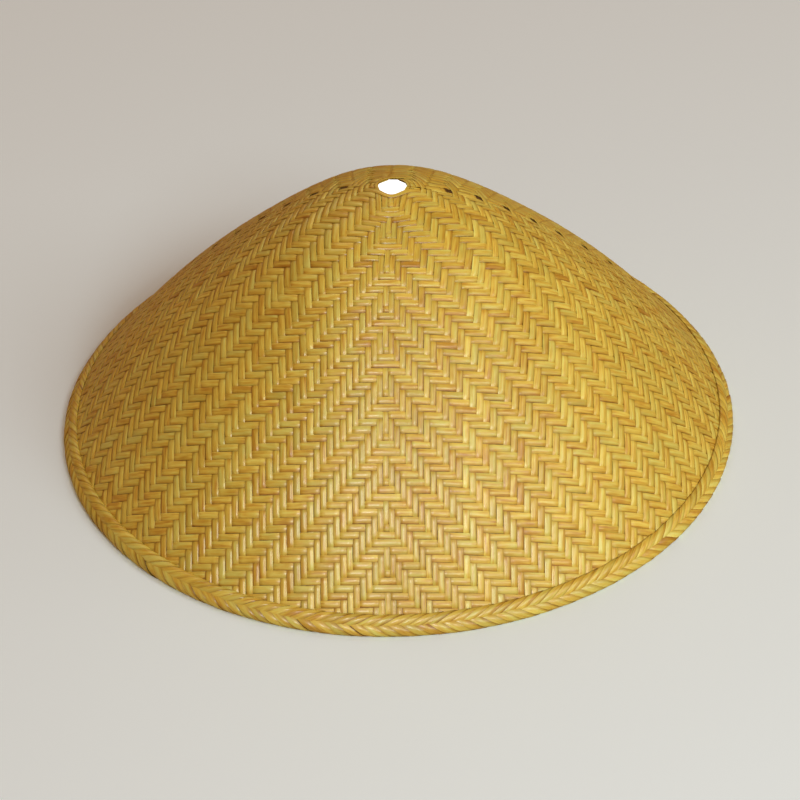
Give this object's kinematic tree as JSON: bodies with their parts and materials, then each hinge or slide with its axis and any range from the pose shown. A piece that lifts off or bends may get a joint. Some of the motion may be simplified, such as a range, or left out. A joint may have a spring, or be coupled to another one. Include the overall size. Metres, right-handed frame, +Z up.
{
  "type": "woven bamboo hat",
  "caption": "Cone-shaped sun hat: a hollow crown and brim woven from split bamboo in one sheet, open at the apex, with a wrapped roll round its edge.",
  "frame": {"origin": "middle of the ring that the rim rests on", "axes": "+Z up through the apex, -Y towards the front seam of the weave, +X to the wearer's left"},
  "size_m": [0.45, 0.45, 0.1887],
  "materials": {
    "woven_bamboo": "golden split bamboo with a thin clear lacquer",
    "rim_bamboo": "golden split bamboo wrapping with a thin clear lacquer"
  },
  "bodies": {
    "root": {"woven_crown": "woven_bamboo", "rim_braid": "rim_bamboo"}
  },
  "joints": []
}
